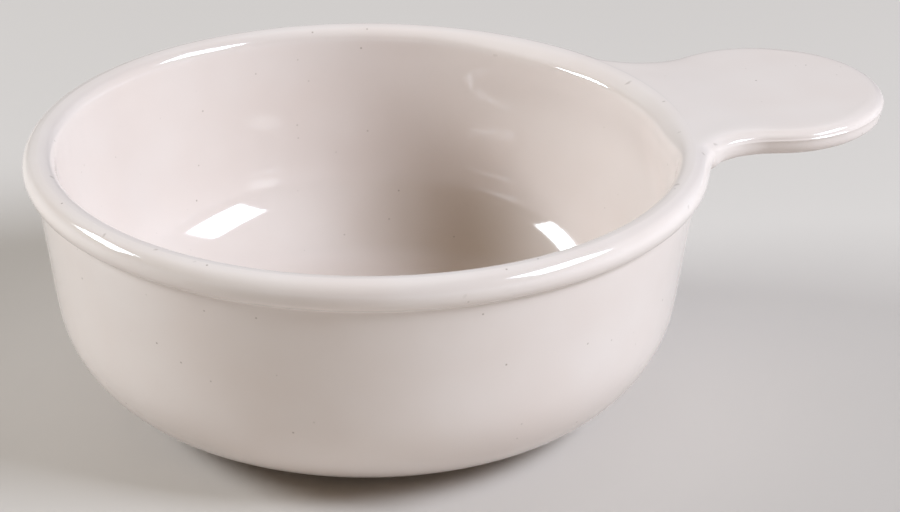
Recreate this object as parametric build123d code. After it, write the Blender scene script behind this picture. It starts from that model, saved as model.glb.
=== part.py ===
from build123d import *
import os
from math import cos, radians, sin, sqrt, tan

# Lug soup bowl: a turned clay bowl with one pressed lug, stuck to the rim with slip and glazed.
# Millimetres, +Z up. The origin is the middle of the foot on the table, and the lug points along +X.

# Bowl, over the glaze
rim_diameter = 140.0
bowl_height = 55.3
wall = 4.7
wall_lean = 8.1  # degrees, wider at the top
floor = 6.3
corner_radius = 25.5  # outside, where the wall turns under

# Rolled rim, over the glaze
rim_height = 6.7
rim_overhang = 2.4  # past the wall, at the rim's underside
rim_hollow = 0.6  # radius of the hollow between rim and wall
lip_rounding = 3.0  # inner edge

# Foot ring, bare clay
foot_diameter = 76.0
foot_width = 4.0
foot_height = 1.6
foot_rounding = 0.5

# Lug, over the glaze
lug_reach = 115.2  # from the bowl's axis to the tip
lug_width = 50.6
lug_thickness = 5.4
lug_rounding = 2.55
lug_drop = 0.6  # from the rim's crown to the lug's top
neck_radius = 16.0  # hollow on each side, where the lug leaves the rim
neck_sink = 1.0  # how far inside the rim's edge the hollows run out

# Coats
slip = 0.4
glaze = 0.35
bare_foot = 0.8  # height of the wiped, unglazed band of the foot

roundest = 0.96  # share of the room for a rounding that it may take

rim_radius = rim_diameter / 2
rim_rounding = rim_height / 2
rim_middle = bowl_height - rim_rounding
rim_underside = bowl_height - rim_height
rim_centre = rim_radius - rim_rounding
floor_top = foot_height + floor
lean = radians(wall_lean)

# Sections are drawn on the side away from the lug, so that a turned face has its seam there
section_plane = Plane((0, 0, 0), x_dir=(-1, 0, 0), z_dir=(0, 1, 0))


def turned(section):
    return revolve(section_plane * section, Axis.Z)


def wall_radius(height, depth):
    """Radius of the wall's cone at a height, at a depth below its outer face."""
    outer = rim_radius - rim_overhang - (rim_underside - height) * tan(lean)
    return outer - depth / cos(lean)


def rim_meets_wall(depth):
    """Point under the rim where its round runs into the wall."""
    start = Vector(wall_radius(rim_underside, depth), rim_underside)
    up = Vector(sin(lean), cos(lean))
    to_centre = Vector(rim_centre, rim_middle) - start
    along = to_centre.dot(up)
    aside = (to_centre - up * along).length
    return start + up * (along - sqrt((rim_rounding - depth) ** 2 - aside ** 2))


def rounded(face, corner, radius):
    return fillet(face.vertices().sort_by_distance(corner)[0], radius)


def body_section(depth):
    """Half section of floor, wall and rim, at a depth below the finished surface."""
    base = foot_height + depth
    crown = bowl_height - depth
    inside = floor_top - depth
    heel = Vector(wall_radius(base, depth), base)
    under_rim = rim_meets_wall(depth)
    over_rim = Vector(rim_centre, crown)
    lip = Vector(wall_radius(crown, wall - depth), crown)
    inner_corner = Vector(wall_radius(inside, wall - depth), inside)
    outline = Polyline((0, base), heel, under_rim)
    outline += ThreePointArc(under_rim, (rim_radius - depth, rim_middle), over_rim)
    outline += Polyline(over_rim, lip, inner_corner, (0, inside), (0, base))
    section = make_face(outline)
    section = rounded(section, heel, corner_radius - depth)
    section = rounded(section, under_rim, rim_hollow + depth)
    lip_room = (over_rim.X - lip.X) * tan((radians(90) + lean) / 2)
    section = rounded(section, lip, min(lip_rounding - depth, roundest * lip_room))
    return rounded(section, inner_corner, corner_radius - wall + depth)


def foot_section(skin, low, rounding):
    """Half section of the foot ring with a skin on its sides, sunk into the floor."""
    inner = foot_diameter / 2 - foot_width - skin
    outer = foot_diameter / 2 + skin
    top = foot_height + floor / 2
    section = make_face(Polyline((inner, low), (outer, low), (outer, top), (inner, top), close=True))
    if rounding:
        section = rounded(section, (inner, low), rounding)
        section = rounded(section, (outer, low), rounding)
    return section


def lug_outline(depth):
    """Plan of the lug: a disc with a hollow on each side, run on into the middle of the wall."""
    disc = lug_width / 2
    middle = Vector(lug_reach - disc, 0)
    base = rim_radius - neck_sink
    to_hollow = base + neck_radius
    disc_to_hollow = disc + neck_radius
    hollow_x = (middle.X ** 2 + to_hollow ** 2 - disc_to_hollow ** 2) / (2 * middle.X)
    hollow = Vector(hollow_x, sqrt(to_hollow ** 2 - hollow_x ** 2))
    root = hollow * ((base - depth) / to_hollow)
    join = middle + (hollow - middle) * ((disc - depth) / disc_to_hollow)
    halfway = (root - hollow).normalized() + (join - hollow).normalized()
    waist = hollow + halfway.normalized() * (neck_radius + depth)
    buried = wall_radius(rim_underside, wall / 2)
    end = root * (buried / root.length)
    side = Line(end, root) + ThreePointArc(root, waist, join)
    far_side = mirror(side, Plane.XZ)
    tip = ThreePointArc(join, (lug_reach - depth, 0), (join.X, -join.Y))
    back = ThreePointArc((end.X, -end.Y), (buried, 0), end)
    return make_face(side + tip + far_side + back)


def lug_form(depth):
    """Lug with rounded edges, still whole where it runs into the rim."""
    thickness = lug_thickness - 2 * depth
    top = bowl_height - lug_drop - depth
    form = extrude(Pos(0, 0, top - thickness) * lug_outline(depth), thickness)
    buried_arcs_first = form.edges().filter_by(GeomType.CIRCLE).sort_by(Axis.X)
    return fillet(buried_arcs_first[2:], min(lug_rounding - depth, roundest * thickness / 2))


def bowl_body():
    return turned(body_section(glaze) + foot_section(0, 0, foot_rounding))


def slip_skin():
    """Skin of slip all over the clay: what the lug covers of it stays."""
    return turned(body_section(glaze - slip) - body_section(glaze))


def lug_handle():
    return lug_form(glaze) - turned(body_section(glaze - slip))


def luting_slip():
    return lug_form(glaze) & slip_skin()


def glaze_pieces():
    """Glaze outside and inside, and the glaze in the recess under the foot."""
    finished = turned(body_section(0) + foot_section(glaze, bare_foot, 0)) + lug_form(0)
    clay = bowl_body() + lug_form(glaze)
    coat, underside = (finished - clay).solids().sort_by(SortBy.VOLUME, reverse=True)
    return coat, underside


glaze_coat, underside_glaze = glaze_pieces()
pieces = {
    "bowl_body": bowl_body(),
    "lug_handle": lug_handle(),
    "luting_slip": luting_slip(),
    "glaze_coat": glaze_coat,
    "underside_glaze": underside_glaze,
}

os.makedirs("parts", exist_ok=True)
for name, piece in pieces.items():
    export_step(piece, f"parts/{name}.step")
    print(name, "solids", len(piece.solids()), "volume", round(piece.volume, 1), "valid", piece.is_valid)
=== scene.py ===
from math import asin, atan2, cos, degrees, pi, radians, sin, sqrt, tan
import bmesh
import bpy
from mathutils import Matrix, Vector


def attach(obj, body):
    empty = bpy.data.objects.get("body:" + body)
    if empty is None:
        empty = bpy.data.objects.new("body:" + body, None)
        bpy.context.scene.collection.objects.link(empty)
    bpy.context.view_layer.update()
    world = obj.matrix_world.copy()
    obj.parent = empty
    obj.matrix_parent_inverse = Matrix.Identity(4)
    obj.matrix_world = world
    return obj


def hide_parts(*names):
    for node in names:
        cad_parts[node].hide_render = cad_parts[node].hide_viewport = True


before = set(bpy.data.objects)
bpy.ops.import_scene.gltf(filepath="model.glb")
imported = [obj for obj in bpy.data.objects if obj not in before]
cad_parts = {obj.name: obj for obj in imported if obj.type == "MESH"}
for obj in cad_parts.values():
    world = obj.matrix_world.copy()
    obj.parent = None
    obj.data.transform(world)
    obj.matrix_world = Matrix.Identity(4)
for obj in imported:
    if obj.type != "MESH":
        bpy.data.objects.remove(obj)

scene = bpy.context.scene
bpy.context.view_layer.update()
mm = 0.001


# camera at the photo's angle, looking down into the bowl with the lug to the right
shot = dict(place=(-0.21884, -0.60763, 0.32529), forward=(0.33067, 0.84685, -0.41654), roll=0.585,
            lens=137.18, sensor=36)


def makeCamera():
    data = bpy.data.cameras.new("camera")
    data.sensor_width = shot["sensor"]
    data.lens = shot["lens"]
    camera = bpy.data.objects.new("camera", data)
    scene.collection.objects.link(camera)
    scene.camera = camera
    facing = Vector(shot["forward"]).to_track_quat("-Z", "Y").to_matrix()
    tipped = facing @ Matrix.Rotation(radians(shot["roll"]), 3, "Z")
    camera.matrix_world = Matrix.Translation(shot["place"]) @ tipped.to_4x4()


makeCamera()
print("camera set")


def hexColor(text):  # sRGB hex to linear
    parts = [int(text[i:i + 2], 16) / 255 for i in (1, 3, 5)]
    return [c / 12.92 if c <= 0.04045 else ((c + 0.055) / 1.055) ** 2.4 for c in parts] + [1.0]


def patternScale(size):  # repeats per metre of a pattern this many millimetres wide
    return 1 / (size * mm)


def addNode(tree, kind, links=None, values=None, **settings):
    node = tree.nodes.new(kind)
    for name, value in settings.items():
        setattr(node, name, value)
    for socket, value in (values or {}).items():
        node.inputs[socket].default_value = value
    for socket, source in (links or {}).items():
        tree.links.new(source, node.inputs[socket])
    return node


def newMaterial(name):
    material = bpy.data.materials.new(name)
    material.use_nodes = True
    material.node_tree.nodes.clear()
    return material, material.node_tree


def addObject(bm, name, material):
    mesh = bpy.data.meshes.new(name)
    bm.to_mesh(mesh)
    bm.free()
    piece = bpy.data.objects.new(name, mesh)
    scene.collection.objects.link(piece)
    piece.data.materials.append(material)
    return piece


# glossy white tin glaze, dipped and fired: a wet-looking clear skin over warm white,
# with pinholes where gas came out and faint chips along the rim; sizes in millimetres
glazeLook = dict(white="#dfd4cd", warm="#dccfc7", speck="#7d6a58", roughness=0.08, ior=1.6,
                 cloud=24, cloudEdges=(0.35, 0.75), ripple=7, rippleHeight=0.3, rippleStrength=0.02,
                 pinhole=0.3, pinholeCell=4.5, patch=30, patchEdges=(0.42, 0.62),
                 chip=(0.2, 0.6), chipCell=6, chipShade=0.35, chipRagged=1.8,
                 chipHeight=(51, 53.5), chipReach=(72, 74), pitDepth=0.1, pitStrength=0.5)


def glazeTint(tree, at):  # hardly seen clouds of warmer white
    clouds = addNode(tree, "ShaderNodeTexNoise", {"Vector": at},
                     {"Scale": patternScale(glazeLook["cloud"]), "Detail": 2.0})
    tint = addNode(tree, "ShaderNodeValToRGB", {"Fac": clouds.outputs["Fac"]})
    white, warm = tint.color_ramp.elements
    white.position, warm.position = glazeLook["cloudEdges"]
    white.color = hexColor(glazeLook["white"])
    warm.color = hexColor(glazeLook["warm"])
    return tint.outputs["Color"]


def glazeRipple(tree, at):  # the slight waves of a dipped coat
    ripples = addNode(tree, "ShaderNodeTexNoise", {"Vector": at},
                      {"Scale": patternScale(glazeLook["ripple"]), "Detail": 1.0})
    wavy = addNode(tree, "ShaderNodeBump", {"Height": ripples.outputs["Fac"]},
                   {"Strength": glazeLook["rippleStrength"], "Distance": glazeLook["rippleHeight"] * mm})
    return wavy.outputs["Normal"]


def glazePinholes(tree, at):  # small dark balls through the skin, thicker in some patches than others
    cell = glazeLook["pinholeCell"]
    holes = addNode(tree, "ShaderNodeTexVoronoi", {"Vector": at}, {"Scale": patternScale(cell)})
    hole = addNode(tree, "ShaderNodeMapRange", {"Value": holes.outputs["Distance"]},
                   {"From Max": glazeLook["pinhole"] / cell, "To Min": 1.0, "To Max": 0.0})
    patches = addNode(tree, "ShaderNodeTexNoise", {"Vector": at},
                      {"Scale": patternScale(glazeLook["patch"]), "Detail": 1.0})
    bare, thick = glazeLook["patchEdges"]
    share = addNode(tree, "ShaderNodeMapRange", {"Value": patches.outputs["Fac"]},
                    {"From Min": bare, "From Max": thick})
    pinholes = addNode(tree, "ShaderNodeMath", {0: hole.outputs["Result"], 1: share.outputs["Result"]},
                       operation="MULTIPLY")
    return pinholes.outputs["Value"]


def glazeChips(tree, at):  # wear: ragged marks where the rim gets knocked, on top and not out on the lug
    cell = glazeLook["chipCell"]
    ragged = addNode(tree, "ShaderNodeTexNoise", {"Vector": at},
                     {"Scale": patternScale(glazeLook["chipRagged"]), "Detail": 2.0})
    bent = addNode(tree, "ShaderNodeVectorMath", {0: ragged.outputs["Color"], 2: at},
                   {1: [glazeLook["chipRagged"] * mm] * 3}, operation="MULTIPLY_ADD")
    knocks = addNode(tree, "ShaderNodeTexVoronoi", {"Vector": bent.outputs["Vector"]},
                     {"Scale": patternScale(cell)})
    core, edge = glazeLook["chip"]
    chip = addNode(tree, "ShaderNodeMapRange", {"Value": knocks.outputs["Distance"]},
                   {"From Min": core / cell, "From Max": edge / cell,
                    "To Min": glazeLook["chipShade"], "To Max": 0.0})
    low, high = glazeLook["chipHeight"]
    height = addNode(tree, "ShaderNodeSeparateXYZ", {"Vector": at})
    onTop = addNode(tree, "ShaderNodeMapRange", {"Value": height.outputs["Z"]},
                    {"From Min": low * mm, "From Max": high * mm})
    near, far = glazeLook["chipReach"]
    flat = addNode(tree, "ShaderNodeVectorMath", {0: at}, {1: (1, 1, 0)}, operation="MULTIPLY")
    out = addNode(tree, "ShaderNodeVectorMath", {0: flat.outputs["Vector"]}, operation="LENGTH")
    onRim = addNode(tree, "ShaderNodeMapRange",
                    {"Value": out.outputs["Value"], "To Min": onTop.outputs["Result"]},
                    {"From Min": near * mm, "From Max": far * mm, "To Max": 0.0})
    chips = addNode(tree, "ShaderNodeMath", {0: chip.outputs["Result"], 1: onRim.outputs["Result"]},
                    operation="MULTIPLY")
    return chips.outputs["Value"]


def makeTinGlaze():
    material, tree = newMaterial("white tin glaze")
    at = addNode(tree, "ShaderNodeTexCoord").outputs["Object"]
    marks = addNode(tree, "ShaderNodeMath", {0: glazePinholes(tree, at), 1: glazeChips(tree, at)},
                    operation="MAXIMUM").outputs["Value"]
    color = addNode(tree, "ShaderNodeMix", {"Factor": marks, 6: glazeTint(tree, at)},
                    {7: hexColor(glazeLook["speck"])}, data_type="RGBA")
    pits = addNode(tree, "ShaderNodeBump", {"Height": marks, "Normal": glazeRipple(tree, at)},
                   {"Strength": glazeLook["pitStrength"], "Distance": glazeLook["pitDepth"] * mm},
                   invert=True)
    surface = addNode(tree, "ShaderNodeBsdfPrincipled",
                      {"Base Color": color.outputs[2], "Normal": pits.outputs["Normal"]},
                      {"Roughness": glazeLook["roughness"], "IOR": glazeLook["ior"]})
    addNode(tree, "ShaderNodeOutputMaterial", {"Surface": surface.outputs["BSDF"]})
    return material


# buff biscuit clay: fired once, dry and chalky with fine grit, seen on the wiped foot
clayLook = dict(pale="#d9c9b6", dark="#b79f86", roughness=0.85, ior=1.5,
                grit=0.6, gritHeight=0.1, gritStrength=0.3)


def makeClay():
    material, tree = newMaterial("buff biscuit clay")
    at = addNode(tree, "ShaderNodeTexCoord").outputs["Object"]
    grit = addNode(tree, "ShaderNodeTexNoise", {"Vector": at},
                   {"Scale": patternScale(clayLook["grit"]), "Detail": 4.0})
    tone = addNode(tree, "ShaderNodeValToRGB", {"Fac": grit.outputs["Fac"]})
    dark, pale = tone.color_ramp.elements
    dark.color = hexColor(clayLook["dark"])
    pale.color = hexColor(clayLook["pale"])
    rough = addNode(tree, "ShaderNodeBump", {"Height": grit.outputs["Fac"]},
                    {"Strength": clayLook["gritStrength"], "Distance": clayLook["gritHeight"] * mm})
    surface = addNode(tree, "ShaderNodeBsdfPrincipled",
                      {"Base Color": tone.outputs["Color"], "Normal": rough.outputs["Normal"]},
                      {"Roughness": clayLook["roughness"], "IOR": clayLook["ior"]})
    addNode(tree, "ShaderNodeOutputMaterial", {"Surface": surface.outputs["BSDF"]})
    return material


glaze = makeTinGlaze()
clay = makeClay()
cadLooks = dict(bowl_body=clay, lug_handle=clay, luting_slip=clay, underside_glaze=glaze)
for node, stuff in cadLooks.items():
    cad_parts[node].data.materials.clear()
    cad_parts[node].data.materials.append(stuff)
print("materials made")


# glaze over the whole bowl and lug, one skin from the foot over the rim to the floor inside;
# drawn in millimetres and degrees, as a cage for subdivision
bowl = dict(rimRadius=70.0, height=55.3, wall=4.7, lean=8.1, floor=6.3, heel=25.5,
            roll=3.35, overhang=2.4, hollow=0.6, lip=3.0, foot=38.0, footHeight=1.6, bare=0.8, coat=0.35,
            # rows of the cage
            columns=64, footRow=0.5, heelTurns=(3, 5.5, 8.5), wallRows=(31, 38, 43.5, 46.4),
            insideRows=(50.4, 47.3, 42.5, 37, 31), floorRows=(33, 25, 15, 0),
            merge=0.001, fitTurns=25, smoothing=2)
lug = dict(reach=115.2, disc=25.3, thick=5.4, drop=0.6, neck=16.0, sink=1.0,
           # the rim opens from this radius and height to this slope, this many columns each way, and flares
           openFrom=(67.5, 47.9), slope=80, columns=4, flare=0.6,
           # top and underside run softly into the rim, by distance from the axis,
           # and the first rings settle from the rim's own heights to the lug's
           ramp=(68, 88), rampRise=0.9, sagFrom=70.5, sag=0.05, settle=(0.5, 0.85, 1.0),
           # round the edge from top to bottom, with the mould's seam at 90 and a squarer lower half
           edgeTurns=(0, 32, 61, 81, 90, 99, 119, 148, 180), squareness=0.6,
           seam=0.15, seamRise=0.8, seamFrom=2, seamRun=2,
           # rings from root to tip: on the neck's hollow, on the disc, and on the lug's middle line
           neckTurns=(236, 244.5, 255, 267, 279.5, 290.2), discTurns=(97, 83, 67, 50),
           middles=(70.2, 72.4, 75.4, 79.3, 84.3, 90, 96, 102.2, 108), leastBulge=0.01)
# the rim's inside was pushed in where the lug was pressed on, between the near and far turns from the lug;
# the push grows to the edge and fades out below it
press = dict(depth=1.6, within=66.3, near=(-26, -10), far=(32, 60), edge=2.6, fade=12.4)

lean = radians(bowl["lean"])
crown = bowl["height"]
underRoll = crown - 2 * bowl["roll"]
floorTop = bowl["footHeight"] + bowl["floor"]
columnStep = 2 * pi / bowl["columns"]
seamLevel = lug["edgeTurns"].index(90)
bottomLevel = len(lug["edgeTurns"]) - 1
neckStations = len(lug["neckTurns"])
lastStation = neckStations + len(lug["discTurns"]) - 1
discMiddle = Vector((lug["reach"] - lug["disc"], 0))


def neckPlace():  # middle of the hollow beside the lug, which touches the disc and the sunk rim
    toHollow = bowl["rimRadius"] - lug["sink"] + lug["neck"]
    x = (discMiddle.x ** 2 + toHollow ** 2 - (lug["disc"] + lug["neck"]) ** 2) / (2 * discMiddle.x)
    return Vector((x, sqrt(toHollow ** 2 - x ** 2)))


neckMiddle = neckPlace()


def wallRadius(z, depth=0.0):
    return bowl["rimRadius"] - bowl["overhang"] - (underRoll - z) * tan(lean) - depth / cos(lean)


def eased(value, start, end):  # 0 before the start, 1 after the end
    share = min(max((value - start) / (end - start), 0), 1)
    return share * share * (3 - 2 * share)


def runTo(bm, pen, r, z):
    pen = bmesh.ops.extrude_vert_indiv(bm, verts=[pen])["verts"][0]
    pen.co = (r, 0, z)
    return pen


def roundTo(bm, pen, centre, turn, steps):  # turn from the axis outwards to up
    swept = bmesh.ops.spin(bm, geom=[pen], cent=(centre[0], 0, centre[1]), axis=(0, -1, 0),
                           angle=radians(turn), steps=steps)
    return swept["geom_last"][0]


def drawSection(bm):
    base = bowl["footHeight"]
    heel = bowl["heel"]
    heelMiddle = (wallRadius(base + heel) - heel / cos(lean), base + heel)
    rollMiddle = Vector((bowl["rimRadius"] - bowl["roll"], crown - bowl["roll"]))
    # the hollow under the roll touches the wall and the roll
    up = Vector((sin(lean), cos(lean)))
    out = Vector((cos(lean), -sin(lean)))
    start = Vector((wallRadius(underRoll), underRoll)) + out * bowl["hollow"] - rollMiddle
    along = start.dot(up)
    apart = bowl["roll"] + bowl["hollow"]
    hollowMiddle = rollMiddle + start + up * (-along - sqrt(along ** 2 - start.length_squared + apart ** 2))
    onWall = hollowMiddle - out * bowl["hollow"]
    toRoll = degrees(atan2(hollowMiddle.y - rollMiddle.y, hollowMiddle.x - rollMiddle.x))

    # up the outside
    footEdge = bowl["foot"] + bowl["coat"]
    pen = bm.verts.new((footEdge, 0, bowl["bare"]))
    pen = runTo(bm, pen, footEdge, bowl["bare"] + bowl["footRow"])
    pen = runTo(bm, pen, heelMiddle[0], base)
    for turn in bowl["heelTurns"]:
        pen = roundTo(bm, pen, heelMiddle, turn, steps=1)
    pen = roundTo(bm, pen, heelMiddle, 90 - bowl["lean"] - sum(bowl["heelTurns"]), steps=5)
    for z in bowl["wallRows"]:
        pen = runTo(bm, pen, wallRadius(z), z)
    pen = runTo(bm, pen, onWall.x, onWall.y)
    # round the roll to the crown
    pen = roundTo(bm, pen, hollowMiddle, toRoll + bowl["lean"], steps=1)
    pen = roundTo(bm, pen, rollMiddle, -toRoll, steps=3)
    pen = roundTo(bm, pen, rollMiddle, lug["slope"], steps=4)
    pen = roundTo(bm, pen, rollMiddle, 90 - lug["slope"], steps=1)
    # over the lip and down to the middle of the floor
    lipInset = bowl["lip"] / tan((pi / 2 + lean) / 2)
    lipMiddle = (wallRadius(crown, bowl["wall"]) + lipInset, crown - bowl["lip"])
    lipStart = degrees(atan2(crown - lipMiddle[1], rollMiddle.x - lipMiddle[0]))
    pen = roundTo(bm, pen, lipMiddle, 180 - bowl["lean"] - lipStart, steps=3)
    for z in bowl["insideRows"]:
        pen = runTo(bm, pen, wallRadius(z, bowl["wall"]), z)
    corner = heel - bowl["wall"]
    cornerMiddle = (wallRadius(floorTop + corner, bowl["wall"]) - corner / cos(lean), floorTop + corner)
    pen = runTo(bm, pen, cornerMiddle[0] + corner * cos(lean), cornerMiddle[1] - corner * sin(lean))
    pen = roundTo(bm, pen, cornerMiddle, bowl["lean"] - 90, steps=6)
    for r in bowl["floorRows"]:
        pen = runTo(bm, pen, r, floorTop)


def faceOutwards(bm):
    bmesh.ops.recalc_face_normals(bm, faces=bm.faces)
    floorFace = min(bm.faces, key=lambda f: f.calc_center_median().xy.length)
    floorFace.normal_update()
    if floorFace.normal.z < 0:
        bmesh.ops.reverse_faces(bm, faces=bm.faces)


def spinBowl():
    bm = bmesh.new()
    drawSection(bm)
    bmesh.ops.spin(bm, geom=bm.verts[:] + bm.edges[:], cent=(0, 0, 0), axis=(0, 0, 1), angle=2 * pi,
                   steps=bowl["columns"], use_merge=True)
    bmesh.ops.remove_doubles(bm, verts=bm.verts, dist=bowl["merge"])
    faceOutwards(bm)
    return bm


def pressRim(bm):
    for v in bm.verts:
        drop = crown - v.co.z
        if v.co.xy.length < press["within"] and drop < press["edge"] + press["fade"]:
            turn = degrees(atan2(v.co.y, v.co.x))
            push = press["depth"] * eased(turn, *press["near"]) * (1 - eased(turn, *press["far"]))
            push *= min(drop / press["edge"], 1 - eased(drop - press["edge"], 0, press["fade"]))
            v.co.xy *= 1 - push / v.co.xy.length


def columnOf(v):  # counted from the lug's middle line
    return round(atan2(v.co.y, v.co.x) / columnStep)


def openRim(bm):  # gives the opening's edges, each point's column and level, and the levels' heights
    rollZ = crown - bowl["roll"]
    topZ = rollZ + bowl["roll"] * sin(radians(lug["slope"]))
    openRadius, openZ = lug["openFrom"]
    opened = []
    for f in bm.faces:
        c = f.calc_center_median()
        beside = abs(atan2(c.y, c.x)) < lug["columns"] * columnStep
        if beside and c.xy.length > openRadius and openZ < c.z < topZ:
            opened.append(f)
    bmesh.ops.delete(bm, geom=opened, context="FACES")

    ring = [e for e in bm.edges if e.is_boundary and e.verts[0].co.z > floorTop]
    corners = {v for e in ring for v in e.verts}
    rimHeights = sorted((v.co.z for v in corners if columnOf(v) == lug["columns"]), reverse=True)
    print("lug opening:", len(opened), "faces,", len(ring), "edges,", len(rimHeights), "levels")
    place = {}
    for v in corners:
        column = columnOf(v)
        if abs(column) < lug["columns"]:
            level = 0 if v.co.z > rollZ else bottomLevel
        else:
            level = min(range(len(rimHeights)), key=lambda i: abs(rimHeights[i] - v.co.z))
        place[v] = (column, level)
    for v, (column, level) in place.items():
        if abs(column) == lug["columns"]:
            v.co.xy *= 1 + lug["flare"] * sin(pi * level / bottomLevel) / bowl["rimRadius"]
    return ring, place, rimHeights


def lugEdge(station, level):  # inset from the lug's outline, and height over its middle
    across = radians(lug["edgeTurns"][level])
    half = lug["thick"] / 2
    if level < seamLevel:
        inset = (1 - sin(across)) * half
        rise = lug["seamRise"] + cos(across) * (half - lug["seamRise"])
    else:
        inset = (1 - sin(across) ** lug["squareness"]) * half
        rise = lug["seamRise"] + cos(across) * (half + lug["seamRise"])
    if level != seamLevel and station > lug["seamFrom"]:
        inset += lug["seam"] * min((station - lug["seamFrom"]) / lug["seamRun"], 1)
    return inset, rise


def onCircle(middle, turn, radius):
    return middle + Vector((cos(radians(turn)), sin(radians(turn)))) * radius


def acrossLug(edge, middleX, share):  # along an arc through both edges and the middle line
    bulge = max(middleX - edge.x, lug["leastBulge"])
    radius = (edge.y ** 2 + bulge ** 2) / (2 * bulge)
    opening = asin(min(edge.y / radius, 1))
    if edge.y < bulge:
        opening = pi - opening
    return Vector((edge.x + bulge - radius + radius * cos(opening * share), radius * sin(opening * share)))


def lugPlace(station, column, level):  # one point of the lug's skin
    inset, rise = lugEdge(station, level)
    share = column / lug["columns"]
    if station == lastStation:  # round the tip
        spot = onCircle(discMiddle, lug["discTurns"][-1] * share, lug["disc"] - inset)
    else:
        if station < neckStations:
            edge = onCircle(neckMiddle, lug["neckTurns"][station], lug["neck"] + inset)
        else:
            edge = onCircle(discMiddle, lug["discTurns"][station - neckStations], lug["disc"] - inset)
        spot = acrossLug(edge, lug["middles"][station], share)
    height = crown - lug["drop"] - lug["thick"] / 2 + rise
    if level == 0:  # the top runs up to the crown
        height += lug["drop"] * lug["rampRise"] * (1 - eased(spot.length, *lug["ramp"]))
    if level == bottomLevel:
        height -= lug["sag"] * max(lug["sagFrom"] - spot.length, 0) ** 2
    return Vector((spot.x, spot.y, height))


def drawLug(bm, ring, place, rimHeights):  # out of the opening, ring by ring
    for station in range(lastStation + 1):
        made = bmesh.ops.extrude_edge_only(bm, edges=ring)["geom"]
        settle = lug["settle"][min(station, len(lug["settle"]) - 1)]
        moved = {}
        for v in made:
            if isinstance(v, bmesh.types.BMVert):
                old = next(e.other_vert(v) for e in v.link_edges if e.other_vert(v) in place)
                moved[v] = place[old]
        for v, (column, level) in moved.items():
            v.co = lugPlace(station, column, level)
            if 0 < level < bottomLevel:
                v.co.z += (rimHeights[level] - v.co.z) * (1 - settle)
        place = moved
        ring = [e for e in made if isinstance(e, bmesh.types.BMEdge) and e.is_boundary]
    return ring, place


def closeTip(bm, ring, place):
    before = set(bm.verts)
    flat = []
    for e in ring:
        level, other = (place[v][1] for v in e.verts)
        if level == other and level in (0, bottomLevel):
            flat.append(e)
    bmesh.ops.grid_fill(bm, edges=flat)
    # the filled rows follow the edge's round, from top to bottom
    fresh = set(bm.verts) - before
    row = {v: column for v, (column, level) in place.items() if level == 0 and abs(column) < lug["columns"]}
    for level in range(1, bottomLevel):
        below = {}
        for v, column in row.items():
            for e in v.link_edges:
                if e.other_vert(v) in fresh:
                    below[e.other_vert(v)] = column
        for v, column in below.items():
            v.co = lugPlace(lastStation, column, level)
        fresh -= set(below)
        row = below
    faceOutwards(bm)


def onSurface(v):  # where the subdivided skin passes for a cage point
    if v.is_boundary:
        ends = [e.other_vert(v).co for e in v.link_edges if e.is_boundary]
        return (ends[0] + ends[1] + 4 * v.co) / 6
    n = len(v.link_edges)
    beside = sum((e.other_vert(v).co for e in v.link_edges), Vector())
    across = sum((l.link_loop_next.link_loop_next.vert.co for l in v.link_loops), Vector())
    return (n * n * v.co + 4 * beside + across) / (n * (n + 5))


def fitCage(bm):  # pulled out until the smooth skin passes through the drawn points
    drawn = {v: v.co.copy() for v in bm.verts if all(len(f.verts) == 4 for f in v.link_faces)}
    for _ in range(bowl["fitTurns"]):
        passing = {v: onSurface(v) for v in drawn}
        for v, spot in passing.items():
            v.co += drawn[v] - spot
    off = max((spot - onSurface(v)).length for v, spot in drawn.items())
    print("glaze cage:", len(bm.faces), "faces, farthest off", round(off, 3), "mm")


def makeGlazeSkin():
    bm = spinBowl()
    pressRim(bm)
    ring, place, rimHeights = openRim(bm)
    ring, place = drawLug(bm, ring, place, rimHeights)
    closeTip(bm, ring, place)
    fitCage(bm)
    bmesh.ops.scale(bm, vec=(mm, mm, mm), verts=bm.verts)
    for f in bm.faces:
        f.smooth = True
    skin = addObject(bm, "glaze_skin", glaze)
    smooth = skin.modifiers.new("smooth", "SUBSURF")
    smooth.levels = smooth.render_levels = bowl["smoothing"]
    thick = skin.modifiers.new("coat", "SOLIDIFY")
    thick.thickness = bowl["coat"] * mm
    thick.offset = -1
    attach(skin, "root")
    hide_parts("glaze_coat")


makeGlazeSkin()
print("glaze made")


# grey backdrop paper under and behind the bowl: matt and even, with a slow change of tone; radius in metres
paperLook = dict(pale="#cdc6bf", dark="#cac3bc", cloud=300, roughness=0.7, ior=1.4, radius=2.5, segments=96)


def makePaper():
    material, tree = newMaterial("grey backdrop paper")
    at = addNode(tree, "ShaderNodeTexCoord").outputs["Object"]
    clouds = addNode(tree, "ShaderNodeTexNoise", {"Vector": at},
                     {"Scale": patternScale(paperLook["cloud"]), "Detail": 1.0})
    tone = addNode(tree, "ShaderNodeValToRGB", {"Fac": clouds.outputs["Fac"]})
    dark, pale = tone.color_ramp.elements
    dark.color = hexColor(paperLook["dark"])
    pale.color = hexColor(paperLook["pale"])
    surface = addNode(tree, "ShaderNodeBsdfPrincipled", {"Base Color": tone.outputs["Color"]},
                      {"Roughness": paperLook["roughness"], "IOR": paperLook["ior"]})
    addNode(tree, "ShaderNodeOutputMaterial", {"Surface": surface.outputs["BSDF"]})
    return material


def layPaper():
    bm = bmesh.new()
    bmesh.ops.create_circle(bm, cap_ends=True, segments=paperLook["segments"], radius=paperLook["radius"])
    floor = addObject(bm, "paper", makePaper())


layPaper()
print("paper laid")


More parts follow.
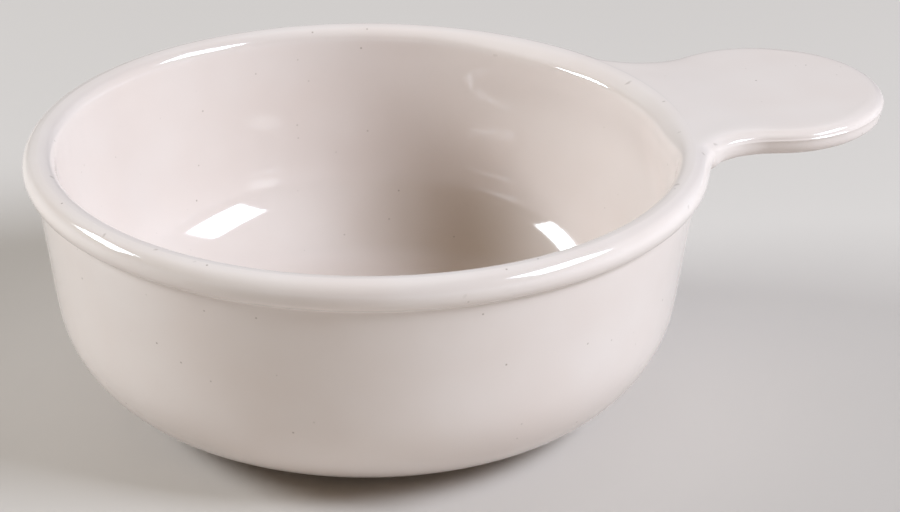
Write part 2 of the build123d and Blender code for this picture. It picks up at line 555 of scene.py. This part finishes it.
# two softboxes beside the camera, in metres, watts and degrees;
# side is counted to the right of the way the camera looks
lamps = dict(right=dict(side=105.8, height=38, away=1.4, size=(0.72, 0.42), tilt=9.5,
                        power=25.3, color="#e6f0ff"),
             left=dict(side=-84, height=27.5, away=1.4, size=(0.56, 0.30), tilt=-9.5,
                       power=19.3, color="#eef7ff"))
lampAim = (0, 0, 0.03)
# dark room with a pale wall low down, and lit paper rising behind the bowl
roomLight = dict(low="#edf6ff", high="#6c5626", glow=0.3, strength=1.0)
sweep = dict(height=22, edges=(0.5, 0.85), color="#797b80")

ahead = atan2(shot["forward"][1], shot["forward"][0])


def wayTo(turn, height):  # turn in radians, height in degrees
    rise = radians(height)
    return Vector((cos(turn) * cos(rise), sin(turn) * cos(rise), sin(rise)))


def addLamp(name, lamp):
    data = bpy.data.lights.new(name + " light", "AREA")
    data.shape = "RECTANGLE"
    data.size, data.size_y = lamp["size"]
    data.energy = lamp["power"]
    data.color = hexColor(lamp["color"])[:3]
    light = bpy.data.objects.new(name + " light", data)
    scene.collection.objects.link(light)
    way = wayTo(ahead - radians(lamp["side"]), lamp["height"])
    facing = way.to_track_quat("Z", "Y").to_matrix() @ Matrix.Rotation(radians(lamp["tilt"]), 3, "Z")
    light.matrix_world = Matrix.Translation(way * lamp["away"] + Vector(lampAim)) @ facing.to_4x4()


def lightRoom():
    world = bpy.data.worlds.new("room")
    world.use_nodes = True
    tree = world.node_tree
    tree.nodes.clear()
    way = addNode(tree, "ShaderNodeTexCoord").outputs["Generated"]
    height = addNode(tree, "ShaderNodeSeparateXYZ", {"Vector": way})
    sky = addNode(tree, "ShaderNodeValToRGB", {"Fac": height.outputs["Z"]})
    low, high = sky.color_ramp.elements
    low.color = hexColor(roomLight["low"])
    high.color = hexColor(roomLight["high"])
    high.position = roomLight["glow"]
    toward = addNode(tree, "ShaderNodeVectorMath", {0: way}, {1: wayTo(ahead, sweep["height"])},
                     operation="DOT_PRODUCT")
    outer, inner = sweep["edges"]
    share = addNode(tree, "ShaderNodeMapRange", {"Value": toward.outputs["Value"]},
                    {"From Min": outer, "From Max": inner}, interpolation_type="SMOOTHSTEP")
    around = addNode(tree, "ShaderNodeMix", {"Factor": share.outputs["Result"], 6: sky.outputs["Color"]},
                     {7: hexColor(sweep["color"])}, data_type="RGBA")
    shine = addNode(tree, "ShaderNodeBackground", {"Color": around.outputs[2]},
                    {"Strength": roomLight["strength"]})
    addNode(tree, "ShaderNodeOutputWorld", {"Surface": shine.outputs["Background"]})
    scene.world = world


for name, lamp in lamps.items():
    addLamp(name, lamp)
lightRoom()
scene.view_settings.view_transform = "Standard"
print("lights set")
